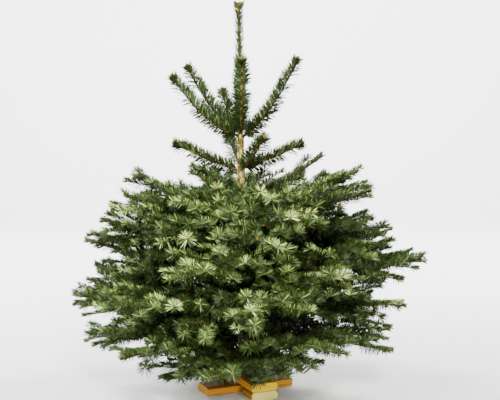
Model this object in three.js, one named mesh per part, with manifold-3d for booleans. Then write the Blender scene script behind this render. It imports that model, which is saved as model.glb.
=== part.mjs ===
// A young fir cut as a Christmas tree, standing upright on a cross of two sawn boards.
// Millimetres and degrees, +Z up. +X is to the right of the front, and -Y is the front.
// The origin is on the floor, under the middle of the cross.

import * as THREE from "three";
import { mergeVertices } from "three/addons/utils/BufferGeometryUtils.js";
import Module from "manifold-3d";

const wasm = await Module();
wasm.setup();

// ---- Driving dimensions ----

const TREE_HEIGHT = 1000;
const GAP = 0.3; // air between two pieces that meet

// Stand: two boards laid crosswise, and a foot block under each end of the upper one.
const BOARD_LENGTH = 240;
const BOARD_WIDTH = 72;
const BOARD_THICKNESS = 21.5;
const BOARD_EDGE_RADIUS = 4;
const FOOT_LENGTH = 55;
const STAND_TURN = 24; // of the lower board, from X towards Y

// Trunk: its radius at some heights, from the saw cut to the buds at the top.
const TRUNK_FOOT = 2 * BOARD_THICKNESS;
const TRUNK_SIDES = 10;
const TRUNK_RADII = [
  [TRUNK_FOOT, 17.5],
  [160, 16],
  [400, 12.5],
  [540, 10],
  [650, 9],
  [685, 5.6],
  [970, 3.7],
  [987, 4.6],
  [TREE_HEIGHT, 1.2],
];
const TRUNK_RINGS = 18;
const TRUNK_LEAN = -17; // sideways, at the top
const LEAN_CURVE = 0.7;

// Tiers of limbs, from the top down. A limb is [bearing, reach, height of its tip], and
// its bearing turns from X towards Y. `spread` is how far the roots of a tier lie apart
// in height, `bow` how far its limbs sag, `bough` the bare share of each limb, and
// `pairs` how many pairs of twigs fork from it.
const TIERS = [
  {
    root: 665,
    spread: 20,
    bow: 57,
    bough: 0,
    pairs: 0,
    limbs: [
      [345, 149, 854],
      [112, 134, 783],
      [196, 177, 810],
      [157, 151, 841],
      [272, 140, 845],
    ],
  },
  {
    root: 575,
    spread: 10,
    bow: 8,
    bough: 0,
    pairs: 0,
    limbs: [
      [186, 170, 641],
      [6, 158, 640],
      [301, 113, 657],
      [106, 120, 657],
    ],
  },
  {
    root: 510,
    spread: 20,
    bow: 40,
    bough: 0,
    pairs: 2,
    limbs: [
      [198, 131, 588],
      [257, 240, 542],
      [297, 250, 530],
      [22, 230, 607],
      [110, 230, 565],
    ],
  },
  {
    root: 450,
    spread: 30,
    bow: 18,
    bough: 0,
    pairs: 3,
    limbs: [
      [194, 302, 512],
      [165, 300, 557],
      [250, 300, 500],
      [291, 320, 478],
      [8, 300, 568],
      [350, 330, 522],
      [86, 300, 540],
    ],
  },
  {
    root: 390,
    spread: 36,
    bow: 22,
    bough: 0,
    pairs: 3,
    limbs: [
      [182, 361, 446],
      [238, 345, 455],
      [276, 350, 437],
      [358, 378, 428],
      [60, 370, 450],
      [122, 360, 455],
    ],
  },
  {
    root: 330,
    spread: 36,
    bow: 26,
    bough: 0.24,
    pairs: 3,
    limbs: [
      [172, 422, 385],
      [258, 390, 372],
      [306, 395, 350],
      [355, 460, 350],
      [48, 420, 385],
      [105, 420, 385],
    ],
  },
  {
    root: 250,
    spread: 40,
    bow: 26,
    bough: 0,
    pairs: 3,
    limbs: [
      [186, 435, 255],
      [226, 405, 272],
      [283, 405, 305],
      [352, 412, 240],
      [66, 430, 280],
      [160, 428, 300],
    ],
  },
  {
    root: 180,
    spread: 36,
    bow: 20,
    bough: 0,
    pairs: 3,
    limbs: [
      [180, 402, 147],
      [220, 367, 142],
      [304, 364, 172],
      [355, 386, 110],
      [85, 400, 165],
    ],
  },
  {
    root: 118,
    spread: 20,
    bow: 12,
    bough: 0,
    pairs: 2,
    limbs: [
      [208, 226, 56],
      [266, 340, 128],
      [351, 205, 78],
      [100, 260, 85],
    ],
  },
];
const ROOT_STEP = 0.618; // share of the spread from one root to the next, which wraps round

// Limbs, and the twigs that fork from them in pairs.
const LIMB_MIDDLE = 0.55; // share of the reach where a limb sags most
const BOUGH_SIDES = 6;
const BOUGH_RINGS = 5;
const BOUGH_RADIUS = 5.5;
const BOUGH_END = 3;
const FIRST_FORK = 0.3; // share of the limb
const FORK_ANGLE = 52;
const FORK_CHANCE = 12; // degrees by which that angle varies
const FORK_BEND = 0.62; // share of the angle left at the twig's end
const FORK_SHARE = 0.66; // of what is left of the limb beyond the fork
const FORK_EXTRA = 30; // added to that share
const TWIG_LEAST = 62; // shorter twigs are left out
const TWIG_LIFT = 0.075; // slope up or down of a twig, for each pair on its limb
const LIFT_CHANCE = 0.14;
const OTHER_LIFTS = [0, 0.14, -0.14, 0.28, -0.28]; // tried in turn until a twig is clear

// Sprays: flat toothed blades of needles.
const TOOTH_PITCH = 26; // from a tooth to the notch after the next
const NEEDLE_REACH = 24; // from the twig to the side
const NEEDLE_RISE = 17; // above the twig
const NEEDLE_UNDER = 7; // below the twig
const NOTCH = 0.4; // share of the reach left between two teeth
const TOOTH_LEAN = 0.4; // how far a tooth leans forward, as a share of its reach
const TOOTH_RISE = 0.6; // share of the rise left at a tooth
const STEM_SIZE = 0.1; // share of the full size where a spray leaves its stem
const LIMB_WIDENING = 110; // length over which a limb's spray comes to its full size
const BOUGH_WIDENING = 60;
const TWIG_WIDENING = 50;
const TWIG_SIZE = 0.95;
const SHOOT_SIZE = 1.2; // of the sprays on limbs that have no twigs yet
const CLEARANCE = 0.8; // between the sprays of two masses

// Leader: the shoot at the top, with needles all round it.
const LEADER_START = 704;
const LEADER_END = 972;
const LEADER_RINGS = 20;
const LEADER_SIDES = 6;
const LEADER_SKIN = 1.2; // thickness of the sleeve that the needles stand on
const LEADER_NEEDLES = [15, 14]; // outwards and upwards

// ---- Shared shapes ----

const UP = new THREE.Vector3(0, 0, 1);
const { degToRad, lerp, mapLinear } = THREE.MathUtils;

// A closed skin over a row of rings. Each ring turns the same way about the path.
function loft(rings) {
  const sides = rings[0].length;
  const last = (rings.length - 1) * sides;
  const index = [];
  for (let start = 0; start < last; start += sides) {
    for (let i = 0; i < sides; i++) {
      const a = start + i;
      const b = start + ((i + 1) % sides);
      index.push(a, b, b + sides, a, b + sides, a + sides);
    }
  }
  for (let i = 1; i + 1 < sides; i++) {
    index.push(0, i + 1, i, last, last + i, last + i + 1);
  }
  const geometry = new THREE.BufferGeometry().setFromPoints(rings.flat());
  geometry.setIndex(index);
  return geometry;
}

function solidOf(geometry) {
  const merged = mergeVertices(geometry, 1e-3);
  return new wasm.Manifold(
    new wasm.Mesh({
      numProp: 3,
      vertProperties: merged.attributes.position.array,
      triVerts: new Uint32Array(merged.index.array),
    }),
  );
}

function geometryOf(solid) {
  const { vertProperties, triVerts } = solid.getMesh();
  const geometry = new THREE.BufferGeometry();
  geometry.setAttribute("position", new THREE.BufferAttribute(vertProperties, 3));
  geometry.setIndex(new THREE.BufferAttribute(triVerts, 1));
  geometry.computeVertexNormals();
  return geometry;
}

const tree = new THREE.Group();

function addMesh(name, geometry, material) {
  const mesh = new THREE.Mesh(geometry, material);
  mesh.name = name;
  tree.add(mesh);
  return mesh;
}

// ---- Materials ----

function dullMaterial(color, roughness) {
  return new THREE.MeshStandardMaterial({ color, roughness, metalness: 0 });
}

const boardWood = dullMaterial(0xd9a558, 0.75);
const bark = dullMaterial(0x7d6845, 0.9);
const needles = dullMaterial(0x3c5a33, 0.6);

// ---- Stand ----

// A board lying along X, with its long edges rounded.
function boardGeometry(length) {
  const top = BOARD_THICKNESS;
  const r = BOARD_EDGE_RADIUS;
  const centre = BOARD_WIDTH / 2 - r;
  const end = new THREE.Shape();
  end.absarc(centre, r, r, -Math.PI / 2, 0);
  end.absarc(centre, top - r, r, 0, Math.PI / 2);
  end.absarc(-centre, top - r, r, Math.PI / 2, Math.PI);
  end.absarc(-centre, r, r, Math.PI, 1.5 * Math.PI);
  const sawn = { depth: length, bevelEnabled: false, curveSegments: 3 };
  return new THREE.ExtrudeGeometry(end, sawn).rotateX(Math.PI / 2).rotateZ(Math.PI / 2);
}

// A board that runs outwards from `start` along its own X, turned about the middle.
function addBoard(name, length, start, turn, bottom) {
  const board = addMesh(name, boardGeometry(length).translate(start, 0, 0), boardWood);
  board.rotation.z = degToRad(turn);
  board.position.z = bottom;
}

const upperTurn = STAND_TURN - 90;
const footStart = BOARD_LENGTH / 2 - FOOT_LENGTH;
addBoard("stand_lower_board", BOARD_LENGTH, -BOARD_LENGTH / 2, STAND_TURN, 0);
addBoard("stand_upper_board", BOARD_LENGTH, -BOARD_LENGTH / 2, upperTurn, BOARD_THICKNESS);
addBoard("stand_front_foot", FOOT_LENGTH, footStart, upperTurn, 0);
addBoard("stand_back_foot", FOOT_LENGTH, footStart, upperTurn + 180, 0);

// ---- Trunk ----

function leanAt(height) {
  return TRUNK_LEAN * Math.pow(height / TREE_HEIGHT, LEAN_CURVE);
}

function trunkRadius(height) {
  const above = Math.max(1, TRUNK_RADII.findIndex(([z]) => z >= height));
  const [z0, r0] = TRUNK_RADII[above - 1];
  const [z1, r1] = TRUNK_RADII[above];
  return mapLinear(height, z0, z1, r0, r1);
}

// A level ring about the trunk's axis. reachAt gives the radius of each of its points.
function levelRing(height, sides, reachAt, riseAt = () => 0) {
  return Array.from({ length: sides }, (_, i) => {
    const angle = (2 * Math.PI * i) / sides;
    const x = leanAt(height) + reachAt(i) * Math.cos(angle);
    return new THREE.Vector3(x, reachAt(i) * Math.sin(angle), height + riseAt(i));
  });
}

// The trunk, grown outwards by `extra` where other pieces are cut clear of it.
function trunkSolid(extra) {
  const even = Array.from({ length: TRUNK_RINGS }, (_, k) =>
    lerp(TRUNK_FOOT, TRUNK_RADII.at(-3)[0], k / (TRUNK_RINGS - 1)),
  );
  const heights = [...even, ...TRUNK_RADII.slice(-2).map(([z]) => z)];
  return solidOf(loft(heights.map((z) => levelRing(z, TRUNK_SIDES, () => trunkRadius(z) + extra))));
}

addMesh("trunk", geometryOf(trunkSolid(0)), bark);
const roomForTrunk = trunkSolid(GAP / Math.cos(Math.PI / TRUNK_SIDES));

// ---- Limbs and sprays ----

// A row of chances from 0 to 1, the same for the same seed.
function chances(seed) {
  let state = seed;
  return () => {
    state = (state * 1664525 + 1013904223) % 4294967296;
    return state / 4294967296;
  };
}

// A limb leaves the trunk, sags and turns up again towards its tip.
function limbCurve(root, bow, [bearing, reach, tipHeight]) {
  const angle = degToRad(bearing);
  const start = new THREE.Vector3(leanAt(root), 0, root);
  const out = new THREE.Vector3(Math.cos(angle), Math.sin(angle), 0);
  const tip = start.clone().addScaledVector(out, reach).setZ(tipHeight);
  const middle = start.clone().lerp(tip, LIMB_MIDDLE).addScaledVector(UP, -bow);
  return new THREE.QuadraticBezierCurve3(start, middle, tip);
}

function frameAt(curve, t) {
  const along = curve.getTangent(t);
  const across = along.clone().cross(UP).normalize();
  return { at: curve.getPoint(t), along, across, above: across.clone().cross(along) };
}

// A twig forks from its parent to one side and bends forward again.
function twigCurve(parent, t, side, length, angle, lift) {
  const { at, along, across } = frameAt(parent, t);
  const heading = (degrees, rise) =>
    along
      .clone()
      .multiplyScalar(Math.cos(degToRad(degrees)))
      .addScaledVector(across, side * Math.sin(degToRad(degrees)))
      .addScaledVector(UP, rise)
      .normalize();
  const middle = at.clone().addScaledVector(heading(angle, lift), length / 2);
  const end = middle.clone().addScaledVector(heading(angle * FORK_BEND, lift / 2), length / 2);
  return new THREE.QuadraticBezierCurve3(at, middle, end);
}

// A flat spray of needles along a curve: every second ring stands out in two teeth that
// lean forward, and the ring between them rises to a ridge.
function spraySolid(curve, from, size, widening) {
  const length = curve.getLength() * (1 - from);
  const steps = 2 * Math.max(2, Math.round(length / TOOTH_PITCH / 2));
  const rings = Array.from({ length: steps + 1 }, (_, k) => {
    const share = k / steps;
    const { at, along, across, above } = frameAt(curve, lerp(from, 1, share));
    const grown = STEM_SIZE + (share * length) / widening;
    const taper = size * Math.min(1, grown, 0.25 + 3 * (1 - share));
    const tooth = k % 2 === 1;
    const reach = NEEDLE_REACH * taper * (tooth ? 1 : NOTCH);
    const ridge = NEEDLE_RISE * taper * (tooth ? TOOTH_RISE : 1);
    const base = at.clone().addScaledVector(above, -NEEDLE_UNDER * taper);
    base.addScaledVector(along, tooth ? TOOTH_LEAN * reach : 0);
    return [
      base.clone().addScaledVector(across, reach),
      base.clone().addScaledVector(across, -reach),
      at.clone().addScaledVector(above, ridge),
    ];
  });
  return solidOf(loft(rings)).subtract(roomForTrunk);
}

// A bough is one bare tapering limb, up to the share where its foliage begins.
function boughSolid(curve, share) {
  const rings = Array.from({ length: BOUGH_RINGS }, (_, k) => {
    const part = k / (BOUGH_RINGS - 1);
    const { at, across, above } = frameAt(curve, share * part);
    const radius = lerp(BOUGH_RADIUS, BOUGH_END, part);
    return Array.from({ length: BOUGH_SIDES }, (_, i) => {
      const angle = (-2 * Math.PI * i) / BOUGH_SIDES;
      const side = at.clone().addScaledVector(across, radius * Math.cos(angle));
      return side.addScaledVector(above, radius * Math.sin(angle));
    });
  });
  return solidOf(loft(rings)).subtract(roomForTrunk);
}

// The leader's needles stand on a sleeve round the trunk, three of a ring at a time.
function leaderSolid() {
  const [outwards, upwards] = LEADER_NEEDLES;
  const rings = Array.from({ length: LEADER_RINGS }, (_, k) => {
    const height = lerp(LEADER_START, LEADER_END, k / (LEADER_RINGS - 1));
    const skin = (trunkRadius(height) + GAP + LEADER_SKIN) / Math.cos(Math.PI / LEADER_SIDES);
    const isNeedle = (i) => k % 2 === 1 && (i + (k - 1) / 2) % 2 === 0;
    return levelRing(
      height,
      LEADER_SIDES,
      (i) => (isNeedle(i) ? outwards : skin),
      (i) => (isNeedle(i) ? upwards : 0),
    );
  });
  return solidOf(loft(rings)).subtract(roomForTrunk);
}

// ---- Growth ----

// Every piece of wood or foliage grows as a list of solids, which are fused at the end.
const grown = [];

function addGrowth(name, material, solid, more = {}) {
  const growth = { name, material, solids: [], ...more };
  grown.push(growth);
  addSolid(growth, solid);
  return growth;
}

function addSolid(growth, solid) {
  growth.solids.push({ solid, box: solid.boundingBox() });
}

function boxesMeet(a, b) {
  return [0, 1, 2].every((i) => a.min[i] < b.max[i] + CLEARANCE && b.min[i] < a.max[i] + CLEARANCE);
}

function isClear(solid, owner) {
  const box = solid.boundingBox();
  const isNear = (other) => boxesMeet(box, other.box) && solid.minGap(other.solid, CLEARANCE) < CLEARANCE;
  return grown.every((growth) => growth === owner || !growth.solids.some(isNear));
}

addGrowth("leader_needles", needles, leaderSolid());

TIERS.forEach(({ root, spread, bow, bough, pairs, limbs }, tier) => {
  limbs.forEach((limb, i) => {
    const label = `${tier + 1}_${i + 1}`;
    const curve = limbCurve(root + spread * (((i * ROOT_STEP) % 1) - 0.5), bow, limb);
    const length = curve.getLength();
    if (bough) addGrowth(`bough_${label}`, bark, boughSolid(curve, bough));
    const from = bough ? bough + GAP / length : 0;
    const size = pairs ? 1 : SHOOT_SIZE;
    const spray = spraySolid(curve, from, size, bough ? BOUGH_WIDENING : LIMB_WIDENING);
    const seed = 100 * tier + i + 1;
    addGrowth(`foliage_${label}`, needles, spray, { curve, length, pairs, seed });
  });
});

// Twigs fork in pairs, one rising and one drooping. One that touches another mass is
// turned up or down, and is left out if that doesn't clear it.
function growTwigs(mass) {
  const chance = chances(mass.seed);
  const slope = TWIG_LIFT * mass.pairs;
  for (let k = 0; k < mass.pairs; k++) {
    for (const side of [-1, 1]) {
      const step = side < 0 ? k : k + chance() / 2;
      const t = lerp(FIRST_FORK, 1, step / mass.pairs);
      const share = FORK_SHARE * (0.9 + 0.25 * chance());
      const length = share * (1 - t) * mass.length + FORK_EXTRA;
      const angle = FORK_ANGLE + FORK_CHANCE * (chance() - 0.5);
      const lift = slope * side * (k % 2 ? -1 : 1) + LIFT_CHANCE * (chance() - 0.5);
      if (length < TWIG_LEAST) continue;
      for (const other of OTHER_LIFTS) {
        const twig = twigCurve(mass.curve, t, side, length, angle, lift + other);
        const spray = spraySolid(twig, 0, TWIG_SIZE, TWIG_WIDENING);
        if (!isClear(spray, mass)) continue;
        addSolid(mass, spray);
        break;
      }
    }
  }
}

grown.filter((growth) => growth.pairs).forEach(growTwigs);

for (const { name, material, solids } of grown) {
  const fused = solids.map(({ solid }) => solid).reduce((whole, solid) => whole.add(solid));
  addMesh(name, geometryOf(fused), material);
}

export default tree;
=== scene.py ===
import math

import bpy
import numpy as np
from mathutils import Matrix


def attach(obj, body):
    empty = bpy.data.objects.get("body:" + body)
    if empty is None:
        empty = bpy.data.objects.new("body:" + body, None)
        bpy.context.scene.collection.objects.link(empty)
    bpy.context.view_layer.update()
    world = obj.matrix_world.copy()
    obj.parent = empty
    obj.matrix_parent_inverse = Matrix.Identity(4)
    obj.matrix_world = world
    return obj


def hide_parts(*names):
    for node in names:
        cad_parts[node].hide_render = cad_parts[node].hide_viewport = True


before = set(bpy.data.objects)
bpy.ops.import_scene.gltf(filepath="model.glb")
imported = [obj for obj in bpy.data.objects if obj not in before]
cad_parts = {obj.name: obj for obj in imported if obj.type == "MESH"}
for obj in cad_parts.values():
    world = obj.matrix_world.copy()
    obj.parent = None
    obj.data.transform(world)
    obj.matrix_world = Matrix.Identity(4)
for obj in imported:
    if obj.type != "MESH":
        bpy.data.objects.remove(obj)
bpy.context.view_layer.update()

# ---- Camera, floor and light ----
# The tree stands on a pale studio floor that runs up into a white backdrop. A soft light
# hangs in front of it, above and a little to the right, a weaker one fills the left side,
# two light the backdrop, and a narrow one the stand.

SENSOR_WIDTH = 36.0  # millimetres, as the lens; the rest of this section is in metres
LENS = 67.0
CAMERA_PLACE = (0.0117, -2.4, 0.68)
CAMERA_DIP = 4.4  # degrees below level
FLOOR_SIDE = 5.0
FLOOR_FRONT = -5.5
BEND_START = 4.5
BEND_RADIUS = 1.0
PAPER_TOP = 5.0
PAPER_WHITE = (0.92, 0.92, 0.92, 1.0)
TREE_MIDDLE = (0.0, 0.0, 0.45)
AIR_LIGHT = 0.5

camera_data = bpy.data.cameras.new("camera")
camera_data.sensor_width = SENSOR_WIDTH
camera_data.lens = LENS
camera = bpy.data.objects.new("camera", camera_data)
camera.location = CAMERA_PLACE
camera.rotation_euler = (math.radians(90 - CAMERA_DIP), 0, 0)
bpy.context.scene.collection.objects.link(camera)
bpy.context.scene.camera = camera


def add_object(name, mesh):
    """An object at the origin that shows the mesh."""
    piece = bpy.data.objects.new(name, mesh)
    bpy.context.scene.collection.objects.link(piece)
    return piece


def linear(red, green, blue):
    """A colour of a colour chart, 0 to 255, as light: each share to the power 2.2."""
    return tuple((value / 255) ** 2.2 for value in (red, green, blue)) + (1.0,)


def new_material(name, color, roughness):
    """A Principled material with a low, even gloss, and its shader."""
    material = bpy.data.materials.new(name)
    material.use_nodes = True
    shader = material.node_tree.nodes["Principled BSDF"]
    shader.inputs["Base Color"].default_value = color
    shader.inputs["Roughness"].default_value = roughness
    shader.inputs["Specular IOR Level"].default_value = 0.2
    return material, shader


def add_floor():
    """A sheet of paper: flat to the bend, then a quarter circle, then upright to its top."""
    turn = np.linspace(0, math.pi / 2, 13)
    bend_y = BEND_START + BEND_RADIUS * np.sin(turn)
    bend_z = BEND_RADIUS * (1.0 - np.cos(turn))
    y = np.concatenate([[FLOOR_FRONT, BEND_START], bend_y, [BEND_START + BEND_RADIUS]])
    z = np.concatenate([[0.0, 0.0], bend_z, [PAPER_TOP]])
    x = np.array([-FLOOR_SIDE, FLOOR_SIDE])
    points = np.stack(np.broadcast_arrays(x[None, :], y[:, None], z[:, None]), -1).reshape(-1, 3)
    start = 2 * np.arange(len(y) - 1)
    faces = np.stack([start, start + 1, start + 3, start + 2], 1)
    mesh = bpy.data.meshes.new("floor")
    mesh.from_pydata(points.tolist(), [], faces.tolist())
    mesh.polygons.foreach_set("use_smooth", [True] * len(mesh.polygons))
    floor = add_object("floor", mesh)
    mesh.materials.append(new_material("floor_paper", PAPER_WHITE, 0.9)[0])


def add_light(name, place, target, size, power, color, spread=math.pi):
    """A square lamp turned to face its target, with its beam held to the spread."""
    data = bpy.data.lights.new(name, "AREA")
    data.size = size
    data.energy = power
    data.color = color
    data.spread = spread
    lamp = bpy.data.objects.new(name, data)
    lamp.location = place
    aim = np.array(target) - np.array(place)
    tilt = math.acos(-aim[2] / np.linalg.norm(aim))
    lamp.rotation_euler = (tilt, 0, math.atan2(aim[1], aim[0]) - math.pi / 2)
    bpy.context.scene.collection.objects.link(lamp)


add_floor()
add_light("key_light", (0.45, -2.9, 2.3), TREE_MIDDLE, 0.7, 188, (1.0, 0.99, 0.94))
add_light("fill_light", (-2.2, -1.9, 1.9), TREE_MIDDLE, 1.2, 135, (0.96, 1.0, 1.0))
add_light("left_paper_light", (-2.4, 1.6, 3.0), (-0.4, 4.9, 0.6), 1.4, 520, (1.0, 1.0, 1.0))
add_light("right_paper_light", (2.4, 1.6, 3.0), (0.4, 4.9, 0.6), 1.4, 520, (1.0, 1.0, 1.0))
add_light("stand_light", (0.8, -2.2, 0.35), (0.0, -0.1, 0.0), 0.9, 1.6, (1.0, 0.97, 0.9), 0.32)
world = bpy.data.worlds.new("studio")
world.use_nodes = True
air = world.node_tree.nodes["Background"]
air.inputs["Color"].default_value = (1.0, 1.0, 1.0, 1.0)
air.inputs["Strength"].default_value = AIR_LIGHT
bpy.context.scene.world = world

# ---- Stand ----
# Two planed softwood boards laid crosswise and nailed together, with a short block of the
# same board under each end of the upper one, so that the cross stands level. The long
# edges are rounded. The sawn ends are paler than the sides and show the year rings.

MM = 0.001
BOARD_LENGTH = 240 * MM
BOARD_WIDTH = 72 * MM
BOARD_THICKNESS = 21.5 * MM
BOARD_EDGE_RADIUS = 8 * MM
BOARD_END_BEVEL = 0.7 * MM
FOOT_LENGTH = 55 * MM
STAND_TURN = 24  # degrees, of the lower board
CORNER_STEPS = 7
SIDE_PALE = linear(222, 160, 38)
SIDE_DARK = linear(178, 112, 22)
LOWER_END = linear(255, 180, 70)
UPPER_END = linear(252, 214, 4)
# The foot blocks are of the same board, and their ends are painted paler as a painted highlight.
FOOT_END_HIGHLIT = linear(255, 248, 150)
END_RING_SHARE = (0.92, 0.8, 0.55, 1.0)  # share of an end's colour that its dark rings keep


def board_shape(length, start, turn, bottom):
    """A rectangle with quarter-circle corners, carried along a straight line and closed.

    A corner's point is its centre + radius x (cos a, sin a). The first and the last of the
    four sections are drawn in by the bevel, and the last two faces are the ends.
    """
    quarter = np.linspace(0, math.pi / 2, CORNER_STEPS)
    angle = np.concatenate([quarter + k * math.pi / 2 for k in range(4)])
    corner_y = np.repeat([1, -1, -1, 1], CORNER_STEPS) * (BOARD_WIDTH / 2 - BOARD_EDGE_RADIUS)
    corner_z = np.repeat([1, 1, -1, -1], CORNER_STEPS) * (BOARD_THICKNESS / 2 - BOARD_EDGE_RADIUS)
    inset = np.array([BOARD_END_BEVEL, 0, 0, BOARD_END_BEVEL])[:, None]
    y = corner_y + (BOARD_EDGE_RADIUS - inset) * np.cos(angle)
    z = corner_z + (BOARD_EDGE_RADIUS - inset) * np.sin(angle) + BOARD_THICKNESS / 2 + bottom
    x = np.array([0, BOARD_END_BEVEL, length - BOARD_END_BEVEL, length])[:, None] + start
    c, s = math.cos(math.radians(turn)), math.sin(math.radians(turn))
    points = np.stack(np.broadcast_arrays(c * x - s * y, s * x + c * y, z), -1).reshape(-1, 3)
    sides = len(angle)
    ring = np.arange(sides)
    after = (ring + 1) % sides
    band = np.stack([ring, after, sides + after, sides + ring], 1)
    bands = np.concatenate([band + k * sides for k in range(3)])
    ends = [ring[::-1].tolist(), (3 * sides + ring).tolist()]
    return points.tolist(), bands.tolist() + ends


def add_node(material, kind, values=None):
    """A node of the kind in the material's tree, with the values on its sockets."""
    node = material.node_tree.nodes.new("ShaderNode" + kind)
    for socket, value in (values or {}).items():
        node.inputs[socket].default_value = value
    return node


def add_ramp(material, stops):
    """A node whose colour goes through the (place, colour) stops in straight lines."""
    ramp = add_node(material, "ValToRGB")
    elements = ramp.color_ramp.elements
    for place, _ in stops[1:-1]:
        elements.new(place)
    for element, (place, color) in zip(elements, stops):
        element.position = place
        element.color = color
    return ramp


def add_multiply(material, factor):
    """A node that multiplies its colour A by its colour B, as far as the factor says."""
    node = add_node(material, "Mix")
    node.data_type = "RGBA"
    node.blend_type = "MULTIPLY"
    node.inputs["Factor"].default_value = factor
    return node


def join_nodes(material, *joints):
    """Links, each from a node's output to another node's input."""
    for start, output, end, socket in joints:
        material.node_tree.links.new(start.outputs[output], end.inputs[socket])


def wood_material(name, turn, shift, pale, dark):
    """Year rings round a pith that runs along the board, and fine streaks along both.

    The pith lies at minus `shift`, across the board and up. Faces that look up are painted darker and
    browner, as painted shade from the crown above.
    """
    material, shader = new_material(name, pale, 0.75)
    place = add_node(material, "TexCoord")
    along = add_node(material, "Mapping", {"Rotation": (0, 0, -math.radians(turn))})
    pith = add_node(material, "Mapping", {"Location": (0, *shift), "Scale": (0.15, 1, 1)})
    ring_values = {"Scale": 62, "Distortion": 3.2, "Detail": 2.5, "Detail Scale": 0.6}
    rings = add_node(material, "TexWave", ring_values)
    rings.wave_type = "RINGS"
    rings.rings_direction = "X"
    ramp = add_ramp(material, ((0.25, pale), (0.95, dark)))
    stretch = add_node(material, "Mapping", {"Scale": (6, 160, 160)})
    streaks = add_node(material, "TexNoise", {"Scale": 4, "Detail": 5})
    tint = add_multiply(material, 0.45)
    split = add_node(material, "SeparateXYZ")
    # Painted shade: faces that look up are darkened towards brown, as the crown shades the boards'
    # tops.
    top_shade = add_ramp(material, ((0.35, (1, 1, 1, 1)), (0.9, (0.42, 0.32, 0.2, 1))))
    top_shade_mix = add_multiply(material, 1)
    bump = add_node(material, "Bump", {"Strength": 0.25, "Distance": 0.4 * MM})
    join_nodes(
        material,
        (place, "Object", along, "Vector"),
        (along, "Vector", pith, "Vector"),
        (pith, "Vector", rings, "Vector"),
        (rings, "Fac", ramp, "Fac"),
        (along, "Vector", stretch, "Vector"),
        (stretch, "Vector", streaks, "Vector"),
        (ramp, "Color", tint, "A"),
        (streaks, "Color", tint, "B"),
        (place, "Normal", split, "Vector"),
        (split, "Z", top_shade, "Fac"),
        (tint, "Result", top_shade_mix, "A"),
        (top_shade, "Color", top_shade_mix, "B"),
        (top_shade_mix, "Result", shader, "Base Color"),
        (streaks, "Fac", bump, "Height"),
        (bump, "Normal", shader, "Normal"),
    )
    return material


def add_board(node, length, start, turn, bottom, shift, end_color):
    """One board of the cross, with its sides in one finish and its two ends in another.

    `start` is where it begins along its own line, which goes through the trunk's axis.
    """
    mesh = bpy.data.meshes.new(node)
    points, faces = board_shape(length, start, turn, bottom)
    mesh.from_pydata(points, [], faces)
    mesh.materials.append(wood_material(node + "_side", turn, shift, SIDE_PALE, SIDE_DARK))
    end_dark = tuple(value * share for value, share in zip(end_color, END_RING_SHARE))
    mesh.materials.append(wood_material(node + "_end", turn, shift, end_color, end_dark))
    finish = np.zeros(len(faces), int)
    finish[-2:] = 1
    mesh.polygons.foreach_set("material_index", finish)
    mesh.polygons.foreach_set("use_smooth", [True] * (len(faces) - 2) + [False] * 2)
    mesh.update()
    board = add_object(node.replace("stand_", "planed_"), mesh)
    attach(board, "root")
    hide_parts(node)


board_start = -BOARD_LENGTH / 2
foot_start = BOARD_LENGTH / 2 - FOOT_LENGTH
upper_turn = STAND_TURN - 90
add_board("stand_lower_board", BOARD_LENGTH, board_start, STAND_TURN, 0,
          (0.011, 0.034), LOWER_END)
add_board("stand_upper_board", BOARD_LENGTH, board_start, upper_turn, BOARD_THICKNESS,
          (-0.016, -0.061), UPPER_END)
add_board("stand_front_foot", FOOT_LENGTH, foot_start, upper_turn, 0,
          (0.006, 0.028), FOOT_END_HIGHLIT)
add_board("stand_back_foot", FOOT_LENGTH, foot_start, upper_turn + 180, 0,
          (-0.009, 0.03), FOOT_END_HIGHLIT)

# ---- Trunk ----
# The living stem, sawn off flat at its foot and standing on the upper board. The bark is
# still smooth, grey-brown below and yellow-brown above, with resin blisters, short level
# pores and a collar where each limb leaves. The top is this year's leader.

# From here on lengths are in millimetres, until a mesh is filled.
TREE_HEIGHT = 1000
TRUNK_FOOT = 43
TRUNK_RADII = np.array([  # height and radius
    (43, 17.5), (160, 16), (400, 12.5), (540, 10), (650, 9),
    (685, 5.6), (970, 3.7), (987, 4.6), (1000, 1.2),
])
TRUNK_LEAN = -17
LEAN_CURVE = 0.7
TRUNK_SIDES = 44
TRUNK_ROWS = 480
BARK_RELIEF = 0.45
FULL_RELIEF_RADIUS = 12  # on a thinner stem the relief is less
# The bark's noises: cells round the trunk, cells along it, and seed.
WIDE_CREASES = (17, 60, 1)
DEEP_CREASES = (11, 36, 2)
PORES = (9, 330, 3)
BLISTERS = (14, 130, 4)
PORE_LEVEL = 0.45
BLISTER_LEVEL = 0.62
COLLAR_HEIGHT = 7
OLD_BARK = linear(98, 84, 66)
MIDDLE_BARK = linear(190, 172, 112)
LEADER_BARK = linear(98, 92, 42)
TRUNK_COLORS = (  # height in metres and colour
    (0.45, OLD_BARK),
    (0.56, MIDDLE_BARK),
    (0.66, MIDDLE_BARK),
    (0.7, LEADER_BARK),
)
PATCH_SHADES = (  # noise and what it multiplies the bark's colour by
    (0.49, (0.14, 0.13, 0.07, 1)),
    (0.53, (0.6, 0.55, 0.34, 1)),
    (0.6, (1.6, 1.55, 1.4, 1)),
)

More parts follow.
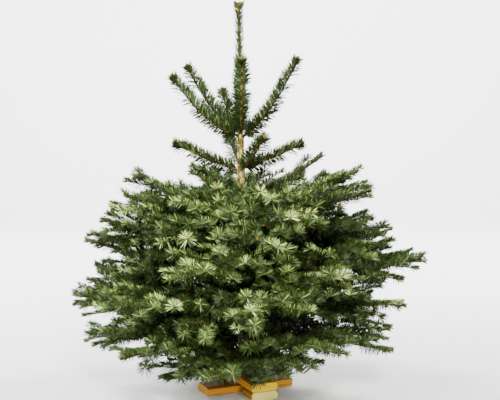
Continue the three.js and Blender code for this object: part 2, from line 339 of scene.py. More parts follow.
# Tiers of limbs, from the top down. `root` is the middle of the heights where the limbs
# leave the trunk and `spread` their range, `bow` is how far a limb's middle is drawn down,
# and `pairs` counts its pairs of main twigs. A limb is its bearing in degrees, its reach
# and the height of its tip.
TIERS = (
    dict(root=665, spread=20, bow=57, pairs=0,
         limbs=((345, 149, 854), (112, 134, 783), (196, 177, 810), (157, 151, 841), (272, 140, 845))),
    dict(root=575, spread=10, bow=8, pairs=0,
         limbs=((186, 170, 641), (6, 158, 640), (301, 113, 657), (106, 120, 657))),
    dict(root=510, spread=20, bow=40, pairs=2,
         limbs=((198, 131, 588), (257, 240, 542), (297, 250, 530), (22, 230, 607), (110, 230, 565))),
    dict(root=450, spread=30, bow=18, pairs=3,
         limbs=((194, 302, 512), (165, 300, 557), (250, 300, 500), (291, 320, 478),
                (8, 300, 568), (350, 330, 522), (86, 300, 540))),
    dict(root=390, spread=36, bow=22, pairs=3,
         limbs=((182, 361, 446), (238, 345, 455), (276, 350, 437), (358, 378, 428),
                (60, 370, 450), (122, 360, 455))),
    dict(root=330, spread=36, bow=26, pairs=3,
         limbs=((172, 422, 385), (258, 390, 372), (306, 395, 350), (355, 460, 350),
                (48, 420, 385), (105, 420, 385))),
    dict(root=250, spread=40, bow=26, pairs=3,
         limbs=((186, 435, 255), (226, 405, 272), (283, 405, 305), (352, 412, 240),
                (66, 430, 280), (160, 428, 300))),
    dict(root=180, spread=36, bow=20, pairs=3,
         limbs=((180, 402, 147), (220, 367, 142), (304, 364, 172), (355, 386, 110), (85, 400, 165))),
    dict(root=118, spread=20, bow=12, pairs=2,
         limbs=((208, 226, 56), (266, 340, 128), (351, 205, 78), (100, 260, 85))),
)
ROOT_STEP = 0.618


def lean_at(height):
    """Sideways place of the trunk's axis: lean x (height / tree's height) ^ 0.7."""
    return TRUNK_LEAN * (np.maximum(height, 0) / TREE_HEIGHT) ** LEAN_CURVE


def trunk_radius(height):
    """Straight lines between the trunk's measured radii."""
    return np.interp(height, TRUNK_RADII[:, 0], TRUNK_RADII[:, 1])


def ripple(u, v, cells_u, cells_v, seed):
    """Smooth noise from -1 to 1: chances on a lattice, blended by 3s^2 - 2s^3.

    u from 0 to 1 goes once round the lattice, which closes on itself, and v once along it.
    """
    lattice = np.random.default_rng(seed).uniform(-1, 1, (cells_v + 2, cells_u))
    x, y = (u % 1) * cells_u, np.clip(v, 0, 1) * cells_v
    i, j = np.floor(x).astype(int), np.floor(y).astype(int)
    s, r = x - i, y - j
    s, r = s * s * (3 - 2 * s), r * r * (3 - 2 * r)
    low = lattice[j, i % cells_u] * (1 - s) + lattice[j, (i + 1) % cells_u] * s
    high = lattice[j + 1, i % cells_u] * (1 - s) + lattice[j + 1, (i + 1) % cells_u] * s
    return low * (1 - r) + high * r


def fill_mesh(name, points, quads, materials, finish=None):
    """A smooth mesh of four-sided faces from whole arrays. A repeated corner makes a triangle."""
    mesh = bpy.data.meshes.new(name)
    mesh.vertices.add(len(points))
    mesh.vertices.foreach_set("co", points.astype(np.float32).ravel())
    corners = np.ones(quads.shape, bool)
    corners[:, 3] = quads[:, 3] != quads[:, 2]
    sizes = corners.sum(1)
    mesh.loops.add(int(sizes.sum()))
    mesh.loops.foreach_set("vertex_index", quads[corners].astype(np.int32))
    mesh.polygons.add(len(quads))
    mesh.polygons.foreach_set("loop_start", (np.cumsum(sizes) - sizes).astype(np.int32))
    mesh.polygons.foreach_set("use_smooth", np.ones(len(quads), bool))
    for material in materials:
        mesh.materials.append(material)
    if finish is not None:
        mesh.polygons.foreach_set("material_index", finish.astype(np.int32))
    mesh.update(calc_edges=True)
    return mesh


def ring_quads(tubes, rings, sides):
    """Faces of `tubes` skins, each a row of `rings` rings of `sides` points."""
    i = np.arange(sides)
    ring = np.stack([i, (i + 1) % sides, (i + 1) % sides + sides, i + sides], 1)
    rows = (np.arange(rings - 1) * sides)[:, None, None] + ring
    skins = (np.arange(tubes) * rings * sides)[:, None, None, None] + rows
    return skins.reshape(-1, 4)


def limb_root(tier, i):
    """Height where limb i leaves the trunk: i steps of 0.618 of the spread, wrapped into it."""
    return tier["root"] + tier["spread"] * ((i * ROOT_STEP) % 1 - 0.5)


def trunk_shape():
    """Level rings along the leaning axis. Radius = straight tapers + bark relief + collars.

    The relief is half the creases + the pores + 2.2 x the blisters, all noise, and the last
    two are what passes a level. A collar is (0.4 + reach / 330) e^-(rise^2 + away^2), with
    both distances from the limb's foot measured in collar heights.
    """
    height = np.linspace(TRUNK_FOOT, TREE_HEIGHT, TRUNK_ROWS)[:, None]
    share = (height - TRUNK_FOOT) / (TREE_HEIGHT - TRUNK_FOOT)
    turn = (np.arange(TRUNK_SIDES) / TRUNK_SIDES)[None, :]
    angle = 2 * math.pi * turn
    radius = trunk_radius(height) * np.ones_like(turn)
    fade = np.clip(radius / FULL_RELIEF_RADIUS, 0.15, 1)
    creases = ripple(turn, share, *WIDE_CREASES) - np.abs(ripple(turn, share, *DEEP_CREASES))
    pores = np.maximum(ripple(turn, share, *PORES) - PORE_LEVEL, 0)
    blisters = np.maximum(ripple(turn, share, *BLISTERS) - BLISTER_LEVEL, 0)
    radius += BARK_RELIEF * fade * (0.5 * creases + 1.0 * pores + 2.2 * blisters)
    for tier in TIERS:
        for i, (bearing, reach, _) in enumerate(tier["limbs"]):
            away = (angle - math.radians(bearing) + math.pi) % (2 * math.pi) - math.pi
            rise = (height - limb_root(tier, i)) / COLLAR_HEIGHT
            radius += (0.4 + reach / 330) * np.exp(-(rise**2) - (away * radius / COLLAR_HEIGHT) ** 2)
    x = lean_at(height) + radius * np.cos(angle)
    y = radius * np.sin(angle)
    return np.stack([x, y, height + 0 * angle], -1).reshape(-1, 3)


def bark_material(name, colors):
    """Bark mottled by noise, whose colour goes through the (height, colour) pairs."""
    material, shader = new_material(name, colors[0][1], 0.8)
    place = add_node(material, "TexCoord")
    split = add_node(material, "SeparateXYZ")
    age = add_ramp(material, colors)
    patches = add_node(material, "TexNoise", {"Scale": 170, "Detail": 3, "Roughness": 0.6})
    upright = add_node(material, "Mapping", {"Scale": (1, 1, 0.4)})
    shade = add_ramp(material, PATCH_SHADES)
    mottle = add_multiply(material, 0.95)
    grain = add_node(material, "TexNoise", {"Scale": 700, "Detail": 3})
    bump = add_node(material, "Bump", {"Strength": 0.5, "Distance": 0.3 * MM})
    join_nodes(
        material,
        (place, "Object", split, "Vector"),
        (split, "Z", age, "Fac"),
        (place, "Object", upright, "Vector"),
        (upright, "Vector", patches, "Vector"),
        (patches, "Fac", shade, "Fac"),
        (age, "Color", mottle, "A"),
        (shade, "Color", mottle, "B"),
        (mottle, "Result", shader, "Base Color"),
        (place, "Object", grain, "Vector"),
        (grain, "Fac", bump, "Height"),
        (bump, "Normal", shader, "Normal"),
    )
    return material


def cap_quads(ring, centre):
    """Faces that close a ring to a centre point, as triangles with a repeated corner."""
    after = np.roll(ring, -1)
    middle = np.full(len(ring), centre)
    return np.stack([ring, after, middle, middle], 1)


def add_trunk():
    """The trunk as one skin, closed by a middle point at its foot and one at its top."""
    skin = trunk_shape()
    ends = [[lean_at(height), 0, height] for height in (TRUNK_FOOT, TREE_HEIGHT)]
    ring = np.arange(TRUNK_SIDES)
    quads = np.concatenate([
        ring_quads(1, TRUNK_ROWS, TRUNK_SIDES),
        cap_quads(ring[::-1], len(skin)),
        cap_quads(ring + len(skin) - TRUNK_SIDES, len(skin) + 1),
    ])
    bark = bark_material("bark", TRUNK_COLORS)
    mesh = fill_mesh("bark_trunk", np.concatenate([skin, ends]) * MM, quads, [bark])
    piece = add_object("bark_trunk", mesh)
    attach(piece, "root")
    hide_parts("trunk")


add_trunk()

# ---- Limbs and twigs ----
# Each limb leaves the trunk, sags a little and turns up to its tip. Twigs fork from it in
# pairs, smaller twigs fork from those, and the last shoots are this year's growth. Old
# wood is grey-brown, and the young shoots are smooth and yellow-brown.

UP = np.array([0.0, 0.0, 1.0])
LIMB_MIDDLE = 0.55
FIRST_FORK = 0.3
FORK_ANGLE = 52
FORK_CHANCE = 12
FORK_BEND = 0.62
FORK_SHARE = 0.66
FORK_EXTRA = 30
TWIG_LIFT = 0.075
LIFT_CHANCE = 0.14
LENGTH_CHANCE = (0.9, 0.25)  # least share of a main twig's length, and what chance may add
THINNEST_LIMB = 2.2  # radius at the trunk
LIMB_GROWTH = 3.3  # what the longest limb's radius has more
LONGEST_LIMB = 460
UPPER_TIP_RADIUS = 2.3
LOWER_TIP_RADIUS = 1.5
LIMB_RELIEF = 0.12  # share of the radius
LIMB_RINGS = 50
LIMB_SIDES = 10
LIMB_END = 0.97  # share of its curve at which a limb's wood ends, and a twig's
TWIG_END = 0.96
TWIG_RINGS = 4
TWIG_SIDES = 4
TWIG_RADIUS = np.array([0.0, 1.9, 1.4, 1.1])  # by order; the limbs are order 0
# The limbs' bark, by height in metres.
OLD_WOOD = ((0.3, linear(84, 70, 46)), (0.6, linear(96, 82, 40)), (0.8, linear(96, 86, 38)))
OLD_TWIG = linear(66, 56, 32)
YOUNG_TWIG = linear(94, 86, 36)
YOUNG_FROM = 0.55  # how far out on its limb a twig is young


def unit(vectors):
    """Each vector divided by its length."""
    return vectors / np.linalg.norm(vectors, axis=-1, keepdims=True)


def frames_at(curves, t):
    """Point, heading, side and top at share t of each three-point curve.

    The point is (1-t)^2 A + 2t(1-t) B + t^2 C. Side is heading x up, and top is side x heading.
    """
    a, b, c = curves[:, 0], curves[:, 1], curves[:, 2]
    t = t[:, None]
    heading = unit((1 - t) * (b - a) + t * (c - b))
    side = unit(np.cross(heading, UP))
    return (1 - t) ** 2 * a + 2 * t * (1 - t) * b + t**2 * c, heading, side, np.cross(side, heading)


def curve_lengths(curves):
    """Length of each curve, as a chain of eight straight steps."""
    shares = np.linspace(0, 1, 9)
    points = [frames_at(curves, np.full(len(curves), t))[0] for t in shares]
    return sum(np.linalg.norm(b - a, axis=1) for a, b in zip(points, points[1:]))


def limb_curve(root, bow, bearing, reach, tip_height):
    """Start on the trunk's axis, a middle that sags by the bow, and the tip."""
    angle = math.radians(bearing)
    start = np.array([lean_at(root), 0, root])
    tip = start + reach * np.array([math.cos(angle), math.sin(angle), 0])
    tip[2] = tip_height
    return np.array([start, start + LIMB_MIDDLE * (tip - start) - bow * UP, tip])


def fork(parents, t, hand, length, angle, lift):
    """A twig leaves each parent at share t, turned to one side by the angle, and bends forward.

    Its first half heads along cos(angle) + across sin(angle) + up lift, and its second half
    does the same with a smaller angle and half the lift.
    """
    at, along, across, _ = frames_at(parents, t)

    def heading(turn, rise):
        """Along cos(turn) + across sin(turn) + up rise, of length 1."""
        level = np.cos(turn)[:, None] * along + (hand * np.sin(turn))[:, None] * across
        return unit(level + rise[:, None] * UP)

    middle = at + heading(angle, lift) * length[:, None] / 2
    end = middle + heading(angle * FORK_BEND, lift / 2) * length[:, None] / 2
    return np.stack([at, middle, end], 1)


def chances(seed):
    """A row of chances from 0 to 1, each worked out from the one before."""
    state = seed
    while True:
        state = (state * 1664525 + 1013904223) % 2**32
        yield state / 2**32


def main_forks(tier, seed, length):
    """The pairs of main twigs of one limb: share, hand, length, angle and lift of each.

    A length is 0.66 of what is left of the limb, times its chance, + 30. The solids of the
    foliage fork by the same rule.
    """
    chance = chances(seed)
    least, more = LENGTH_CHANCE
    pairs = tier["pairs"]
    for k in range(pairs):
        for hand in (-1, 1):
            step = k if hand < 0 else k + next(chance) / 2
            t = FIRST_FORK + (1 - FIRST_FORK) * step / pairs
            reach = FORK_SHARE * (least + more * next(chance)) * (1 - t) * length + FORK_EXTRA
            angle = math.radians(FORK_ANGLE + FORK_CHANCE * (next(chance) - 0.5))
            lift = TWIG_LIFT * pairs * hand * (-1 if k % 2 else 1)
            yield t, hand, reach, angle, lift + LIFT_CHANCE * (next(chance) - 0.5)


# Strong shoots that stand out from the crown: what each is drawn towards, and its tip.
OUTER_SHOOTS = np.array([
    [-266, -60, 452, -339, -60, 487],
    [-273, -10, 379, -368, -10, 403],
    [-266, -30, 328, -366, -30, 340],
    [-317, -40, 262, -403, -40, 295],
    [-332, -60, 242, -431, -60, 240],
    [-313, -70, 218, -409, -70, 208],
    [-318, -40, 153, -408, -40, 155],
    [206, 0, 529, 288, 0, 570],
    [235, 40, 513, 316, 40, 540],
    [301, 30, 374, 382, 30, 417],
    [300, -20, 368, 367, -20, 391],
    [334, -20, 336, 427, -20, 368],
    [342, -60, 335, 436, -60, 327],
    [255, -40, 285, 355, -40, 293],
    [256, -40, 186, 374, -40, 173],
    [271, -20, 159, 367, -20, 135],
    [-28, 200, 222, -135, 200, 256],
    [-49, 160, 263, -111, 160, 226],
    [-16, 120, 256, -92, 120, 250],
    [12, 180, 234, -67, 180, 262],
    [-266, -60, 444, -337, -60, 477],
    [-272, -20, 375, -375, -20, 391],
    [121, 86, 569, 193, 86, 604],
    [252, 20, 439, 317, 20, 465],
    [-79, -60, 556, -134, -60, 586],
    [-71, -80, 542, -136, -80, 569],
    [-190, -60, 76, -244, -60, 70],
    [-137, -100, 66, -195, -100, 48],
    [-94, -110, 64, -139, -110, 56],
    [402, -30, 338, 459, -30, 338],
    [361, -20, 225, 410, -20, 222],
    [322, -20, 156, 369, -20, 160],
    [-366, -30, 146, -410, -30, 133],
    [-390, -30, 250, -440, -30, 262],
    [-392, -30, 231, -438, -30, 226],
    [-362, 0, 402, -405, 0, 403],
    [-330, -30, 441, -367, -30, 445],
])
# Clearings in the crown, seen from the front: left, right, bottom and top of each.
CLEARINGS = np.array([
    [-226, -117, 537, 568],
    [-384, -304, 344, 374],
    [-390, -360, 310, 340],
    [-280, -245, 56, 84],
    [-300, -164, 84, 122],
    [206, 271, 459, 488],
    [174, 208, 552, 599],
    [222, 355, 45, 120],
    [351, 413, 226, 249],
    [151, 211, 45, 80],
    [97, 143, 560, 586],
    [-130, -13, 20, 72],
    [206, 262, 96, 142],
    [140, 178, 54, 90],
    [-172, -116, 526, 546],
])

limb_tier = np.repeat(np.arange(len(TIERS)), [len(tier["limbs"]) for tier in TIERS])
limbs = np.array([
    limb_curve(limb_root(tier, i), tier["bow"], *limb)
    for tier in TIERS
    for i, limb in enumerate(tier["limbs"])
])
limb_length = curve_lengths(limbs)
limb_seed = [100 * k + i + 1 for k, tier in enumerate(TIERS) for i in range(len(tier["limbs"]))]

dice = np.random.default_rng(11)
TWIG_ROWS = ("curves", "tier", "length", "inner")


def level_of(curves, tier, inner, order):
    """The twigs of one order. `inner` is how far out on its limb each starts, from 0 to 1."""
    return dict(curves=curves, tier=tier, length=curve_lengths(curves), inner=inner, order=order)


def some_of(level, chosen):
    """The chosen twigs of a level."""
    return dict({key: level[key][chosen] for key in TWIG_ROWS}, order=level["order"])


def grow(parents, pitch, first, clear, share, extra, angle, lift, order):
    """Pairs of twigs along each parent, a pitch apart, up to a clear stretch at its tip.

    A twig's length is share x what is left of the parent + extra, give or take a seventh.
    It leaves at the angle, give or take 8 degrees, and rises by 0.08, give or take the lift.
    """
    length = parents["length"]
    count = np.maximum(np.round((length * (1 - first) - clear) / pitch), 0).astype(int)
    index = np.repeat(np.arange(len(count)), 2 * count)
    k = np.arange(len(index)) - np.repeat(np.cumsum(2 * count) - 2 * count, 2 * count)
    hand = np.where(k % 2, 1.0, -1.0)
    step = (k // 2 + np.where(k % 2, 0.5, 0.0) + dice.uniform(0.1, 0.4, len(k))) * pitch
    t = first + step / length[index]
    length = (share * (1 - t) * length[index] + extra) * dice.uniform(0.86, 1.14, len(k))
    turn = np.radians(angle + dice.uniform(-8, 8, len(k)))
    rise = dice.uniform(-lift, lift, len(k)) + 0.08
    curves = fork(parents["curves"][index], t, hand, length, turn, rise)
    inner = parents["inner"][index] + (1 - parents["inner"][index]) * t * 0.8
    return level_of(curves, parents["tier"][index], inner, order)


order_0 = level_of(limbs, limb_tier, np.zeros(len(limbs)), 0)
planned = [
    (i, *twig)
    for i in range(len(limbs))
    for twig in main_forks(TIERS[limb_tier[i]], limb_seed[i], limb_length[i])
]
index, t, hand, length, angle, lift = (np.array(column) for column in zip(*planned))
main_twigs = level_of(fork(limbs[index], t, hand, length, angle, lift), limb_tier[index], t, 1)
sturdy = some_of(order_0, limb_tier > 1)
between_twigs = grow(sturdy, pitch=58, first=0.2, clear=84, share=0.5, extra=34,
                     angle=50, lift=0.34, order=1)


def join_levels(levels):
    """Several lists of twigs as one."""
    joined = {key: np.concatenate([level[key] for level in levels]) for key in TWIG_ROWS}
    orders = [np.full(len(level["length"]), level["order"]) for level in levels]
    return dict(joined, order=np.concatenate(orders))


def outer_shoots():
    """The shoots to the listed tips. Each starts at the nearest point of a sturdy limb.

    Nearest is counted from where the line from tip to middle goes on by 0.7 of itself.
    """
    middle, tip = OUTER_SHOOTS[:, :3], OUTER_SHOOTS[:, 3:]
    shares = np.linspace(0.25, 0.9, 27)
    low = np.flatnonzero(limb_tier > 1)
    index = np.repeat(low, len(shares))
    points = frames_at(limbs[index], np.tile(shares, len(low)))[0]
    start = middle - 0.7 * (tip - middle)
    nearest = np.linalg.norm(points[None] - start[:, None], axis=2).argmin(1)
    curves = np.stack([points[nearest], middle, tip], 1)
    return level_of(curves, limb_tier[index[nearest]], np.full(len(middle), 0.6), 1)


def open_to_the_sky(level):
    """The twigs whose tip and middle lie in no clearing."""
    x, z = level["curves"][:, 1:, None, 0], level["curves"][:, 1:, None, 2]
    left, right, bottom, top = CLEARINGS.T
    inside = (x > left) & (x < right) & (z > bottom) & (z < top)
    return some_of(level, ~inside.any((1, 2)))


order_1 = dict(join_levels([main_twigs, between_twigs, outer_shoots()]), order=1)
order_1 = open_to_the_sky(order_1)
inner_twigs = open_to_the_sky(grow(
    sturdy, pitch=17, first=0.07, clear=0.56 * sturdy["length"], share=0.12, extra=62,
    angle=58, lift=0.8, order=2,
))
order_2 = open_to_the_sky(grow(
    order_1, pitch=54, first=0.14, clear=70, share=0.5, extra=44, angle=48, lift=0.3, order=2,
))
order_3 = open_to_the_sky(grow(
    order_2, pitch=56, first=0.2, clear=68, share=0.45, extra=38, angle=46, lift=0.25, order=3,
))
twigs = join_levels([order_0, order_1, inner_twigs, order_2, order_3])


def circles(side, top, sides):
    """Circles of radius 1: side x cos a + top x sin a, with a from 0 down to -2 pi."""
    angle = (-2 * math.pi * np.arange(sides) / sides)[None, :, None]
    return np.cos(angle) * side[:, None] + np.sin(angle) * top[:, None]


def tube_shape(curves, stop, root_radius, tip_radius, rings, sides):
    """Circles carried along curves from their start to share stop: centre + radius x circle.

    The radius falls in a straight line from root to tip.
    """
    index = np.repeat(np.arange(len(curves)), rings)
    share = np.tile(np.linspace(0, 1, rings), len(curves))
    at, _, side, top = frames_at(curves[index], stop * share)
    radius = (root_radius[index] * (1 - share) + tip_radius[index] * share)[:, None, None]
    return at[:, None] + radius * circles(side, top, sides)


def closed_skins(skin, tubes):
    """Points and faces of tubes, each closed at its far end by triangles to a middle point.

    The near end is inside the trunk or the parent twig, and stays open.
    """
    rings, sides = len(skin) // tubes, skin.shape[1]
    points = skin.reshape(-1, 3)
    tips = skin.reshape(tubes, rings, sides, 3)[:, -1].mean(1)
    last = (np.arange(tubes) + 1)[:, None] * rings * sides - sides + np.arange(sides)
    middle = np.broadcast_to((len(points) + np.arange(tubes))[:, None], last.shape)
    caps = np.stack([last, np.roll(last, -1, axis=1), middle, middle], -1).reshape(-1, 4)
    return np.concatenate([points, tips]), np.concatenate([ring_quads(tubes, rings, sides), caps])


def add_limbs():
    """All the limbs as one piece. A limb's radius at the trunk grows with its length.

    The bark's relief is noise that moves the skin by up to 0.12 of its radius.
    """
    root_radius = THINNEST_LIMB + LIMB_GROWTH * (limb_length / LONGEST_LIMB)
    tip_radius = np.where(limb_tier < 2, UPPER_TIP_RADIUS, LOWER_TIP_RADIUS)
    skin = tube_shape(limbs, LIMB_END, root_radius, tip_radius, LIMB_RINGS, LIMB_SIDES)
    u = np.arange(LIMB_SIDES) / LIMB_SIDES
    v = (np.arange(len(skin)) / len(skin))[:, None]
    relief = ripple(u, v, 5, len(skin) // 3, 9) * LIMB_RELIEF
    centre = skin.mean(1, keepdims=True)
    skin = centre + (skin - centre) * (1 + relief[..., None])
    points, quads = closed_skins(skin, len(limbs))
    mesh = fill_mesh("bark_limbs", points * MM, quads, [bark_material("limb_bark", OLD_WOOD)])
    piece = add_object("bark_limbs", mesh)
    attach(piece, "root")
    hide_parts(*[f"bough_6_{i + 1}" for i in range(len(TIERS[5]["limbs"]))])


def twig_material(name, color, roughness):
    """Smooth young bark or bud scales, with a fine noise as relief."""
    material, shader = new_material(name, color, roughness)
    place = add_node(material, "TexCoord")
    grain = add_node(material, "TexNoise", {"Scale": 600})
    bump = add_node(material, "Bump", {"Strength": 0.4, "Distance": 0.2 * MM})
    join_nodes(
        material,
        (place, "Object", grain, "Vector"),
        (grain, "Fac", bump, "Height"),
        (bump, "Normal", shader, "Normal"),
    )
    return material


def add_twigs():
    """All the twigs as one piece, in old or young bark by their place on the limb.

    A twig's radius is its order's x (0.75 + length / 320) at the root and 0.55 of that at
    the tip.
    """
    small = twigs["order"] > 0
    curves, order = twigs["curves"][small], twigs["order"][small]
    root_radius = TWIG_RADIUS[order] * (0.75 + twigs["length"][small] / 320)
    skin = tube_shape(curves, TWIG_END, root_radius, root_radius * 0.55, TWIG_RINGS, TWIG_SIDES)
    points, quads = closed_skins(skin, len(curves))
    place = twigs["inner"][small] + 0.15 * dice.uniform(-1, 1, len(curves))
    young = (place > YOUNG_FROM).astype(int)
    finish = np.concatenate([
        np.repeat(young, (TWIG_RINGS - 1) * TWIG_SIDES),
        np.repeat(young, TWIG_SIDES),
    ])
    materials = [
        twig_material("old_twig", OLD_TWIG, 0.8),
        twig_material("young_twig", YOUNG_TWIG, 0.6),
    ]
    mesh = fill_mesh("bark_twigs", points * MM, quads, materials, finish)
    piece = add_object("bark_twigs", mesh)
    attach(piece, "root")


add_limbs()
add_twigs()

# ---- Needles ----
# Flat leathery needles, 20 to 25 mm long and 2 mm wide, glossy dark green above. They sit
# in a spiral, with twisted feet, so that they lie to both sides of the shoot and over it,
# pointing forwards, and leave its underside bare. Upright shoots carry them all round.

# A needle here is three triangles, 2.0 to 3.1 mm wide, and about 33 mm long on the two top
# tiers, because there are fewer than on a real tree.
NEEDLE_LENGTH = 25
NEEDLE_WIDTH = 2.4
NEEDLE_TWIST = 0.8  # radians, about the needle's own length
RANKS = (25.0, 65.0, 108.0, 143.0)  # degrees from the shoot's top
LOW_TURN = 1.5  # radians from the shoot's top, past which a needle is a step darker, as painted shade under the shoot
GOLDEN = 0.618034
PART_OF_LENGTH = (0.0, 0.62, 1.0)  # where a needle's two cross lines and its tip lie
PART_OF_WIDTH = (0.55, 1.0, 0.0)
NEEDLE_FACES = np.array([[0, 1, 3, 2], [2, 3, 4, 4]])
COLOR_STEPS = (-2, -1, 0, 0, 1)
# The colours run from painted shade deep in the crown to painted light on lit outer sprays; fresh and
# silver are also young growth and pale undersides, brightened as painted highlight.
NEEDLE_COLORS = (
    ("needle_shade", linear(34, 43, 19)),
    ("needle_deep", linear(42, 54, 24)),
    ("needle_dark", linear(52, 68, 30)),
    ("needle_green", linear(68, 86, 46)),
    ("needle_light", linear(118, 140, 80)),
    ("needle_fresh_and_lit", linear(198, 222, 122)),
    ("needle_silver_and_sheen", linear(212, 230, 154)),
)
DARK, GREEN, LIGHT, FRESH_AND_LIT, SILVER_AND_SHEEN = 2, 3, 4, 5, 6  # places in the list of colours
NEEDLE_GROUPS = ((0, 1, 2), (3,), (4,), (5,), (6,), (7,), (8,))  # tiers that share a piece
# The crown's radius by height, and how much of the light falls on a spray, by its place
# from left to right and by its height.
CROWN_HEIGHTS = (40, 75, 110, 200, 350, 430, 550, 610, 660, 860)
CROWN_RADII = (210, 250, 390, 425, 445, 390, 310, 230, 170, 150)
LIGHT_ACROSS = ((-150, 60, 220), (1.55, 0.95, 0.45))
LIGHT_UPWARDS = ((100, 260, 400, 540), (0.4, 0.8, 1.1, 1.8))
OPEN_TOP = ((370, 500), (0, 0.85))  # heights, and how far out a spray there counts at least, so that the painted shade of the crown's inside spares the top
COLOR_BOUNDS = (0.35, 0.58, 0.8)  # how far out the second to the fourth colour begin; the inner colours are painted shade


def needle_material(name, color):
    """A plain leaf colour with a waxy gloss that varies a little."""
    material, shader = new_material(name, color, 0.42)
    place = add_node(material, "TexCoord")
    wax = add_node(material, "TexNoise", {"Scale": 120})
    gloss = add_node(material, "MapRange", {"To Min": 0.3, "To Max": 0.55})
    join_nodes(
        material,
        (place, "Object", wax, "Vector"),
        (wax, "Fac", gloss, "Value"),
        (gloss, "Result", shader, "Roughness"),
    )
    return material


def needle_shape(sprays):
    """Needles along curves: their points in rows of five, their faces and their colours.

    Needle k stands at share 1 - (1 - (k + chance) / count) ^ crowding, so more crowding
    draws needles to the tip. Along the shoot they lie in four ranks to each side of its
    top, and towards its tip, or all along where `all_round` is 1, they are turned about it
    by the golden share of the spread. A needle leans from the shoot by its pitch, less over
    the top by `ahead` and near the tip by `blunt`. Its point at part p of its length is
    foot + p x length x heading + p^2 x bend x facing, and the blade is twisted out of that
    facing. `shorter` is the share of its length that a needle on the very top lacks, and
    `blunt` the share that one at the tip lacks. A colour is its spray's, up to two steps
    darker or one lighter, twice that in bright sprays, and a step darker under the shoot.
    """
    curves, first, per_mm, spread = (sprays[key] for key in ("curves", "first", "per_mm", "spread"))
    length = curve_lengths(curves)
    count = np.maximum(np.round(per_mm * (1 - first) * length), 4).astype(int)
    index = np.repeat(np.arange(len(curves)), count)
    k = np.arange(len(index)) - np.repeat(np.cumsum(count) - count, count)
    step = (k + dice.uniform(0.3, 0.7, len(k))) / count[index]
    share = 1 - (1 - step) ** sprays["crowding"][index]
    t = first[index] + (0.985 - first[index]) * share
    at, along, across, above = frames_at(curves[index], t)
    golden = 2 * ((k * GOLDEN + 0.37 * index) % 1) - 1
    ranked = np.array(RANKS)[k // 2 % len(RANKS)] * np.where(k % 2, 1, -1)
    loose = np.maximum(np.clip((t - 0.6) / 0.3, 0, 1), sprays["all_round"][index])
    turn = np.radians(loose * spread[index] * golden + (1 - loose) * ranked)
    turn = turn + dice.normal(0, 0.09, len(k))
    topmost = np.cos(turn / 2) ** 2
    near_tip = np.clip((t - 0.8) / 0.2, 0, 1)
    blunt = sprays["blunt"][index] * near_tip
    lacking = sprays["shorter"][index] * topmost * (1 - near_tip) + blunt
    lean = np.radians(sprays["pitch"][index]) * (1.1 - sprays["ahead"][index] * topmost)
    lean = lean * (1 - blunt) + dice.normal(0, 0.06, len(k))
    sin, cos = np.sin(lean)[:, None], np.cos(lean)[:, None]
    out = np.cos(turn)[:, None] * above + np.sin(turn)[:, None] * across
    heading = cos * along + sin * out
    upright = sprays["all_round"][index][:, None]
    facing = (1 - upright) * (0.9 * above - 0.6 * along) + upright * (along - 0.3 * out)
    facing = unit(facing - (facing * heading).sum(1, keepdims=True) * heading)
    twist = (NEEDLE_TWIST * np.where(k % 2, 1, -1) + dice.normal(0, 0.2, len(k)))[:, None]
    width = np.cos(twist) * np.cross(heading, facing) + np.sin(twist) * facing
    full = NEEDLE_LENGTH * sprays["size"][index] * (1 - lacking)
    reach = (full * dice.uniform(0.92, 1.05, len(k)))[:, None]
    bend = reach * dice.uniform(0.04, 0.14, len(k))[:, None]
    rows = []
    for part, wide in zip(PART_OF_LENGTH, PART_OF_WIDTH):
        middle = at + reach * part * heading + bend * part**2 * facing
        half = width * wide * sprays["width"][index][:, None] / 2
        rows += [middle - half, middle + half] if wide else [middle]
    points = np.stack(rows, 1)
    quads = (np.arange(len(k)) * len(rows))[:, None, None] + NEEDLE_FACES
    tint = sprays["tint"][index]
    other = dice.choice(COLOR_STEPS, len(k)) * np.where(tint > LIGHT, 2, 1)
    # Painted shade: needles far round under the shoot are a step darker.
    hue = np.clip(tint + other - (np.abs(turn) > LOW_TURN), 0, SILVER_AND_SHEEN)
    return points.reshape(-1, 3), quads.reshape(-1, 4), np.repeat(hue, len(NEEDLE_FACES))


def spray_tints():
    """The colour of each spray, and how far out in the crown it ends.

    Sprays go from nearly black inside the crown to green at its edge, which is painted shade of
    the crown's depth. Of the outer ones some are light, fresh or silvery, which is painted light,
    with young growth and pale undersides besides: more of them to the front and the back than to
    the sides, more on the left than on the right, and more towards the top.
    """
    tip = twigs["curves"][:, 2]
    height = tip[:, 2]
    out = np.hypot(tip[:, 0] - lean_at(height), tip[:, 1])
    crown = np.interp(height, CROWN_HEIGHTS, CROWN_RADII)
    outer = np.clip(out / crown, 0, 1.1) + dice.normal(0, 0.08, len(out))
    # Painted shade: the deeper a spray lies in the crown, the darker its colour.
    tint = np.digitize(np.maximum(outer, np.interp(height, *OPEN_TOP)), COLOR_BOUNDS)
    # Painted light: sprays where the lamps fall, on the left, to the front and the back and near the
    # top, get the light, fresh and silvery colours.
    luck = dice.uniform(0, 1, len(out))
    favour = np.interp(tip[:, 0], *LIGHT_ACROSS) * np.interp(height, *LIGHT_UPWARDS)
    chance = favour * (0.25 + 0.9 * (tip[:, 1] / np.maximum(out, 1)) ** 2)
    lit = (twigs["tier"] < 8) & (dice.uniform(0, 1, len(out)) < chance)
    tint = np.where(lit & (outer > 0.6) & (luck < 0.42), LIGHT, tint)
    tint = np.where(lit & (outer > 0.62) & (luck < 0.15), FRESH_AND_LIT, tint)
    tint = np.where(lit & (outer > 0.45) & (luck > 0.97), SILVER_AND_SHEEN, tint)
    tint = np.where(twigs["tier"] < 2, GREEN, tint)
    return tint, outer


